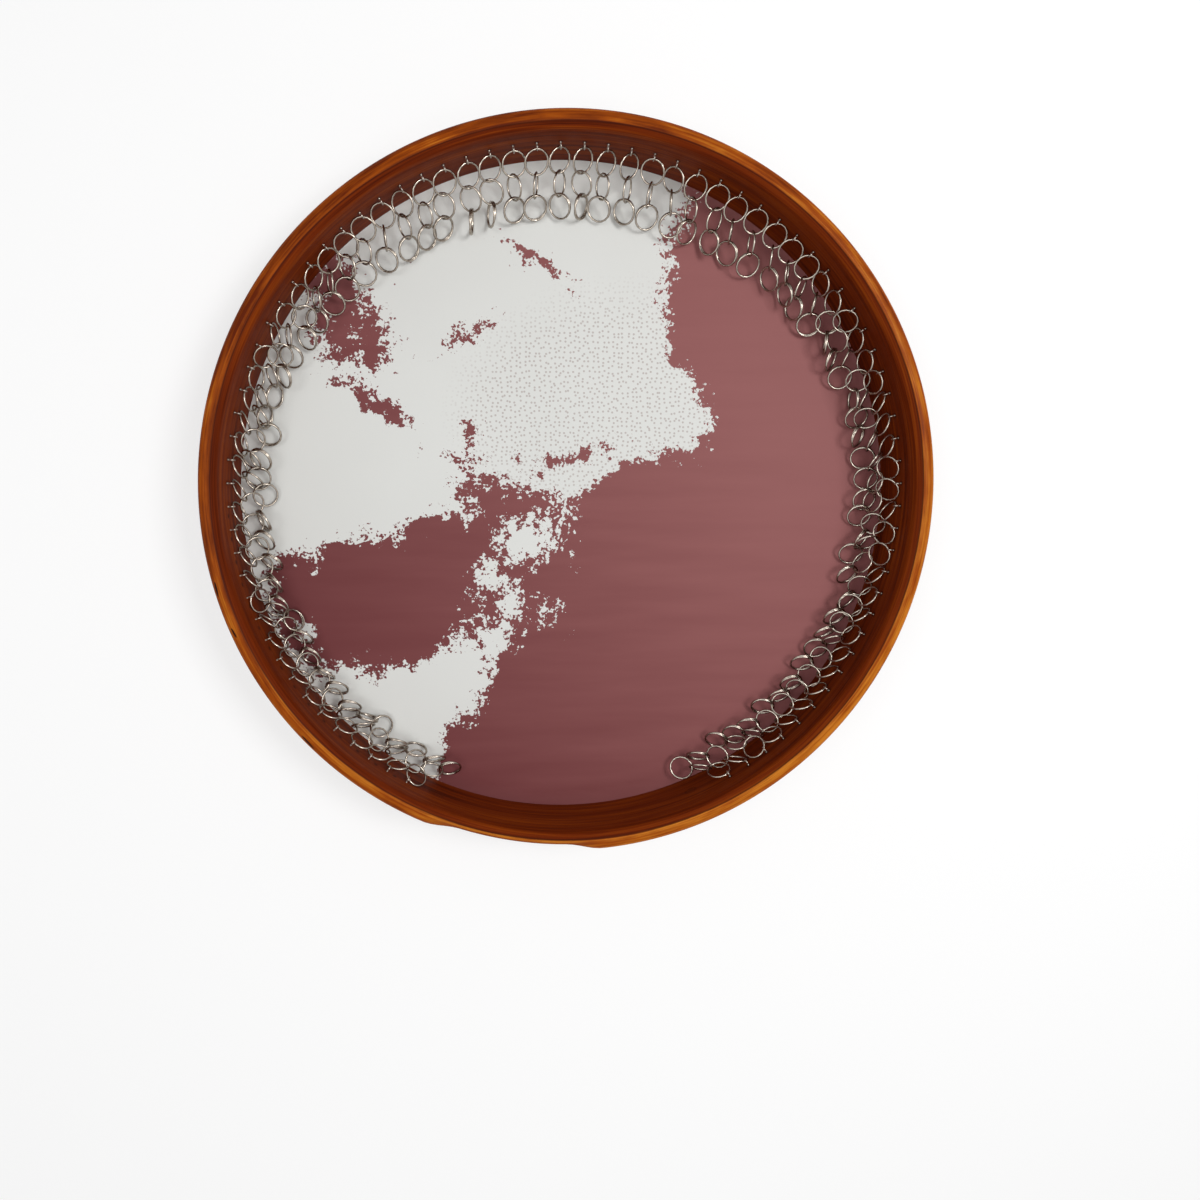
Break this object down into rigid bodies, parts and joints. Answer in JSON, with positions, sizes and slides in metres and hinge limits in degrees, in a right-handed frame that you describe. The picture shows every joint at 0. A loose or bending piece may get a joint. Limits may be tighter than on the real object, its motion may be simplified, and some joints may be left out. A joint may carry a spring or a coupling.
{
  "type": "frame drum",
  "caption": "Daf frame drum lying on its skin: bent wooden hoop with a grip notch, glued film skin and chains of steel rings on screw eyes inside.",
  "frame": {"origin": "centre of the skin's outer face, which the drum lies on", "axes": "+Z along the drum's axis, from the skin to the open back; -Y towards the bottom, where it is held"},
  "size_m": [0.53, 0.53, 0.06],
  "materials": {
    "hoop_wood": "stained red-brown, gloss lacquer",
    "skin_film": "matte printed film, off-white with maroon mottle",
    "ring_steel": "nickel-plated wire",
    "eye_steel": "plated steel wire"
  },
  "bodies": {
    "drum": {"hoop": "hoop_wood", "skin": "skin_film", "skin_lap": "skin_film", "screw_eyes": "eye_steel"},
    "top_rings_01": {"top_rings_01": "ring_steel"},
    "hanging_rings_01": {"hanging_rings_01": "ring_steel"},
    "top_rings_02": {"top_rings_02": "ring_steel"},
    "hanging_rings_02": {"hanging_rings_02": "ring_steel"},
    "top_rings_03": {"top_rings_03": "ring_steel"},
    "hanging_rings_03": {"hanging_rings_03": "ring_steel"},
    "top_rings_04": {"top_rings_04": "ring_steel"},
    "hanging_rings_04": {"hanging_rings_04": "ring_steel"},
    "top_rings_05": {"top_rings_05": "ring_steel"},
    "hanging_rings_05": {"hanging_rings_05": "ring_steel"},
    "top_rings_06": {"top_rings_06": "ring_steel"},
    "hanging_rings_06": {"hanging_rings_06": "ring_steel"},
    "top_rings_07": {"top_rings_07": "ring_steel"},
    "hanging_rings_07": {"hanging_rings_07": "ring_steel"},
    "top_rings_08": {"top_rings_08": "ring_steel"},
    "hanging_rings_08": {"hanging_rings_08": "ring_steel"},
    "top_rings_09": {"top_rings_09": "ring_steel"},
    "hanging_rings_09": {"hanging_rings_09": "ring_steel"},
    "top_rings_10": {"top_rings_10": "ring_steel"},
    "hanging_rings_10": {"hanging_rings_10": "ring_steel"},
    "top_rings_11": {"top_rings_11": "ring_steel"},
    "hanging_rings_11": {"hanging_rings_11": "ring_steel"},
    "top_rings_12": {"top_rings_12": "ring_steel"},
    "hanging_rings_12": {"hanging_rings_12": "ring_steel"},
    "top_rings_13": {"top_rings_13": "ring_steel"},
    "hanging_rings_13": {"hanging_rings_13": "ring_steel"},
    "top_rings_14": {"top_rings_14": "ring_steel"},
    "hanging_rings_14": {"hanging_rings_14": "ring_steel"},
    "top_rings_15": {"top_rings_15": "ring_steel"},
    "hanging_rings_15": {"hanging_rings_15": "ring_steel"},
    "top_rings_16": {"top_rings_16": "ring_steel"},
    "hanging_rings_16": {"hanging_rings_16": "ring_steel"},
    "top_rings_17": {"top_rings_17": "ring_steel"},
    "hanging_rings_17": {"hanging_rings_17": "ring_steel"},
    "top_rings_18": {"top_rings_18": "ring_steel"},
    "hanging_rings_18": {"hanging_rings_18": "ring_steel"},
    "top_rings_19": {"top_rings_19": "ring_steel"},
    "hanging_rings_19": {"hanging_rings_19": "ring_steel"},
    "top_rings_20": {"top_rings_20": "ring_steel"},
    "hanging_rings_20": {"hanging_rings_20": "ring_steel"},
    "top_rings_21": {"top_rings_21": "ring_steel"},
    "hanging_rings_21": {"hanging_rings_21": "ring_steel"},
    "top_rings_22": {"top_rings_22": "ring_steel"},
    "hanging_rings_22": {"hanging_rings_22": "ring_steel"},
    "top_rings_23": {"top_rings_23": "ring_steel"},
    "hanging_rings_23": {"hanging_rings_23": "ring_steel"},
    "top_rings_24": {"top_rings_24": "ring_steel"},
    "hanging_rings_24": {"hanging_rings_24": "ring_steel"},
    "top_rings_25": {"top_rings_25": "ring_steel"},
    "hanging_rings_25": {"hanging_rings_25": "ring_steel"},
    "top_rings_26": {"top_rings_26": "ring_steel"},
    "hanging_rings_26": {"hanging_rings_26": "ring_steel"}
  },
  "joints": [
    {"name": "top_swing_01", "type": "hinge", "parent": "drum", "child": "top_rings_01", "pos_m": [0.13848, -0.20611, 0.03297], "axis": [0.83, 0.5577, 0], "range_deg": [0, 90]},
    {"name": "top_swing_02", "type": "hinge", "parent": "drum", "child": "top_rings_02", "pos_m": [0.17736, -0.17378, 0.03297], "axis": [0.6999, 0.7143, 0], "range_deg": [0, 90]},
    {"name": "top_swing_03", "type": "hinge", "parent": "drum", "child": "top_rings_03", "pos_m": [0.20889, -0.13425, 0.03297], "axis": [0.5406, 0.8413, 0], "range_deg": [0, 90]},
    {"name": "top_swing_04", "type": "hinge", "parent": "drum", "child": "top_rings_04", "pos_m": [0.23176, -0.08915, 0.03297], "axis": [0.359, 0.9333, 0], "range_deg": [0, 90]},
    {"name": "top_swing_05", "type": "hinge", "parent": "drum", "child": "top_rings_05", "pos_m": [0.24501, -0.04034, 0.03297], "axis": [0.1625, 0.9867, 0], "range_deg": [0, 90]},
    {"name": "top_swing_06", "type": "hinge", "parent": "drum", "child": "top_rings_06", "pos_m": [0.24811, 0.01013, 0.03297], "axis": [-0.0408, 0.9992, 0], "range_deg": [0, 90]},
    {"name": "top_swing_07", "type": "hinge", "parent": "drum", "child": "top_rings_07", "pos_m": [0.24091, 0.06018, 0.03297], "axis": [-0.2424, 0.9702, 0], "range_deg": [0, 90]},
    {"name": "top_swing_08", "type": "hinge", "parent": "drum", "child": "top_rings_08", "pos_m": [0.22372, 0.10774, 0.03297], "axis": [-0.4339, 0.901, 0], "range_deg": [0, 90]},
    {"name": "top_swing_09", "type": "hinge", "parent": "drum", "child": "top_rings_09", "pos_m": [0.19726, 0.15083, 0.03297], "axis": [-0.6074, 0.7944, 0], "range_deg": [0, 90]},
    {"name": "top_swing_10", "type": "hinge", "parent": "drum", "child": "top_rings_10", "pos_m": [0.16261, 0.18766, 0.03297], "axis": [-0.7557, 0.6549, 0], "range_deg": [0, 90]},
    {"name": "top_swing_11", "type": "hinge", "parent": "drum", "child": "top_rings_11", "pos_m": [0.12122, 0.21671, 0.03297], "axis": [-0.8727, 0.4882, 0], "range_deg": [0, 90]},
    {"name": "top_swing_12", "type": "hinge", "parent": "drum", "child": "top_rings_12", "pos_m": [0.0748, 0.23678, 0.03297], "axis": [-0.9535, 0.3012, 0], "range_deg": [0, 90]},
    {"name": "top_swing_13", "type": "hinge", "parent": "drum", "child": "top_rings_13", "pos_m": [0.02528, 0.24702, 0.03297], "axis": [-0.9948, 0.1018, 0], "range_deg": [0, 90]},
    {"name": "top_swing_14", "type": "hinge", "parent": "drum", "child": "top_rings_14", "pos_m": [-0.02528, 0.24702, 0.03297], "axis": [-0.9948, -0.1018, 0], "range_deg": [0, 90]},
    {"name": "top_swing_15", "type": "hinge", "parent": "drum", "child": "top_rings_15", "pos_m": [-0.0748, 0.23678, 0.03297], "axis": [-0.9535, -0.3012, 0], "range_deg": [0, 90]},
    {"name": "top_swing_16", "type": "hinge", "parent": "drum", "child": "top_rings_16", "pos_m": [-0.12122, 0.21671, 0.03297], "axis": [-0.8727, -0.4882, 0], "range_deg": [0, 90]},
    {"name": "top_swing_17", "type": "hinge", "parent": "drum", "child": "top_rings_17", "pos_m": [-0.16261, 0.18766, 0.03297], "axis": [-0.7557, -0.6549, 0], "range_deg": [0, 90]},
    {"name": "top_swing_18", "type": "hinge", "parent": "drum", "child": "top_rings_18", "pos_m": [-0.19726, 0.15083, 0.03297], "axis": [-0.6074, -0.7944, 0], "range_deg": [0, 90]},
    {"name": "top_swing_19", "type": "hinge", "parent": "drum", "child": "top_rings_19", "pos_m": [-0.22372, 0.10774, 0.03297], "axis": [-0.4339, -0.901, 0], "range_deg": [0, 90]},
    {"name": "top_swing_20", "type": "hinge", "parent": "drum", "child": "top_rings_20", "pos_m": [-0.24091, 0.06018, 0.03297], "axis": [-0.2424, -0.9702, 0], "range_deg": [0, 90]},
    {"name": "top_swing_21", "type": "hinge", "parent": "drum", "child": "top_rings_21", "pos_m": [-0.24811, 0.01013, 0.03297], "axis": [-0.0408, -0.9992, 0], "range_deg": [0, 90]},
    {"name": "top_swing_22", "type": "hinge", "parent": "drum", "child": "top_rings_22", "pos_m": [-0.24501, -0.04034, 0.03297], "axis": [0.1625, -0.9867, 0], "range_deg": [0, 90]},
    {"name": "top_swing_23", "type": "hinge", "parent": "drum", "child": "top_rings_23", "pos_m": [-0.23176, -0.08915, 0.03297], "axis": [0.359, -0.9333, 0], "range_deg": [0, 90]},
    {"name": "top_swing_24", "type": "hinge", "parent": "drum", "child": "top_rings_24", "pos_m": [-0.20889, -0.13425, 0.03297], "axis": [0.5406, -0.8413, 0], "range_deg": [0, 90]},
    {"name": "top_swing_25", "type": "hinge", "parent": "drum", "child": "top_rings_25", "pos_m": [-0.17736, -0.17378, 0.03297], "axis": [0.6999, -0.7143, 0], "range_deg": [0, 90]},
    {"name": "top_swing_26", "type": "hinge", "parent": "drum", "child": "top_rings_26", "pos_m": [-0.13848, -0.20611, 0.03297], "axis": [0.83, -0.5577, 0], "range_deg": [0, 90]},
    {"name": "hanging_swing_01", "type": "hinge", "parent": "top_rings_01", "child": "hanging_rings_01", "pos_m": [0.13298, -0.19792, 0.01834], "axis": [0.83, 0.5577, 0], "range_deg": [0, 45]},
    {"name": "hanging_swing_02", "type": "hinge", "parent": "top_rings_02", "child": "hanging_rings_02", "pos_m": [0.17032, -0.16688, 0.01834], "axis": [0.6999, 0.7143, 0], "range_deg": [0, 45]},
    {"name": "hanging_swing_03", "type": "hinge", "parent": "top_rings_03", "child": "hanging_rings_03", "pos_m": [0.20059, -0.12891, 0.01834], "axis": [0.5406, 0.8413, 0], "range_deg": [0, 45]},
    {"name": "hanging_swing_04", "type": "hinge", "parent": "top_rings_04", "child": "hanging_rings_04", "pos_m": [0.22255, -0.0856, 0.01834], "axis": [0.359, 0.9333, 0], "range_deg": [0, 45]},
    {"name": "hanging_swing_05", "type": "hinge", "parent": "top_rings_05", "child": "hanging_rings_05", "pos_m": [0.23528, -0.03874, 0.01834], "axis": [0.1625, 0.9867, 0], "range_deg": [0, 45]},
    {"name": "hanging_swing_06", "type": "hinge", "parent": "top_rings_06", "child": "hanging_rings_06", "pos_m": [0.23825, 0.00973, 0.01834], "axis": [-0.0408, 0.9992, 0], "range_deg": [0, 45]},
    {"name": "hanging_swing_07", "type": "hinge", "parent": "top_rings_07", "child": "hanging_rings_07", "pos_m": [0.23133, 0.05779, 0.01834], "axis": [-0.2424, 0.9702, 0], "range_deg": [0, 45]},
    {"name": "hanging_swing_08", "type": "hinge", "parent": "top_rings_08", "child": "hanging_rings_08", "pos_m": [0.21357, 0.10285, 0.01939], "axis": [-0.4339, 0.901, 0], "range_deg": [0, 45]},
    {"name": "hanging_swing_09", "type": "hinge", "parent": "top_rings_09", "child": "hanging_rings_09", "pos_m": [0.18705, 0.14302, 0.02088], "axis": [-0.6074, 0.7944, 0], "range_deg": [0, 45]},
    {"name": "hanging_swing_10", "type": "hinge", "parent": "top_rings_10", "child": "hanging_rings_10", "pos_m": [0.15354, 0.17719, 0.02204], "axis": [-0.7557, 0.6549, 0], "range_deg": [0, 45]},
    {"name": "hanging_swing_11", "type": "hinge", "parent": "top_rings_11", "child": "hanging_rings_11", "pos_m": [0.11422, 0.2042, 0.02269], "axis": [-0.8727, 0.4882, 0], "range_deg": [0, 45]},
    {"name": "hanging_swing_12", "type": "hinge", "parent": "top_rings_12", "child": "hanging_rings_12", "pos_m": [0.07043, 0.22294, 0.02293], "axis": [-0.9535, 0.3012, 0], "range_deg": [0, 45]},
    {"name": "hanging_swing_13", "type": "hinge", "parent": "top_rings_13", "child": "hanging_rings_13", "pos_m": [0.0238, 0.23256, 0.02296], "axis": [-0.9948, 0.1018, 0], "range_deg": [0, 45]},
    {"name": "hanging_swing_14", "type": "hinge", "parent": "top_rings_14", "child": "hanging_rings_14", "pos_m": [-0.0238, 0.23256, 0.02296], "axis": [-0.9948, -0.1018, 0], "range_deg": [0, 45]},
    {"name": "hanging_swing_15", "type": "hinge", "parent": "top_rings_15", "child": "hanging_rings_15", "pos_m": [-0.07043, 0.22294, 0.02293], "axis": [-0.9535, -0.3012, 0], "range_deg": [0, 45]},
    {"name": "hanging_swing_16", "type": "hinge", "parent": "top_rings_16", "child": "hanging_rings_16", "pos_m": [-0.11422, 0.2042, 0.02269], "axis": [-0.8727, -0.4882, 0], "range_deg": [0, 45]},
    {"name": "hanging_swing_17", "type": "hinge", "parent": "top_rings_17", "child": "hanging_rings_17", "pos_m": [-0.15354, 0.17719, 0.02204], "axis": [-0.7557, -0.6549, 0], "range_deg": [0, 45]},
    {"name": "hanging_swing_18", "type": "hinge", "parent": "top_rings_18", "child": "hanging_rings_18", "pos_m": [-0.18705, 0.14302, 0.02088], "axis": [-0.6074, -0.7944, 0], "range_deg": [0, 45]},
    {"name": "hanging_swing_19", "type": "hinge", "parent": "top_rings_19", "child": "hanging_rings_19", "pos_m": [-0.21357, 0.10285, 0.01939], "axis": [-0.4339, -0.901, 0], "range_deg": [0, 45]},
    {"name": "hanging_swing_20", "type": "hinge", "parent": "top_rings_20", "child": "hanging_rings_20", "pos_m": [-0.23133, 0.05779, 0.01834], "axis": [-0.2424, -0.9702, 0], "range_deg": [0, 45]},
    {"name": "hanging_swing_21", "type": "hinge", "parent": "top_rings_21", "child": "hanging_rings_21", "pos_m": [-0.23825, 0.00973, 0.01834], "axis": [-0.0408, -0.9992, 0], "range_deg": [0, 45]},
    {"name": "hanging_swing_22", "type": "hinge", "parent": "top_rings_22", "child": "hanging_rings_22", "pos_m": [-0.23528, -0.03874, 0.01834], "axis": [0.1625, -0.9867, 0], "range_deg": [0, 45]},
    {"name": "hanging_swing_23", "type": "hinge", "parent": "top_rings_23", "child": "hanging_rings_23", "pos_m": [-0.22255, -0.0856, 0.01834], "axis": [0.359, -0.9333, 0], "range_deg": [0, 45]},
    {"name": "hanging_swing_24", "type": "hinge", "parent": "top_rings_24", "child": "hanging_rings_24", "pos_m": [-0.20059, -0.12891, 0.01834], "axis": [0.5406, -0.8413, 0], "range_deg": [0, 45]},
    {"name": "hanging_swing_25", "type": "hinge", "parent": "top_rings_25", "child": "hanging_rings_25", "pos_m": [-0.17032, -0.16688, 0.01834], "axis": [0.6999, -0.7143, 0], "range_deg": [0, 45]},
    {"name": "hanging_swing_26", "type": "hinge", "parent": "top_rings_26", "child": "hanging_rings_26", "pos_m": [-0.13298, -0.19792, 0.01834], "axis": [0.83, -0.5577, 0], "range_deg": [0, 45]}
  ]
}
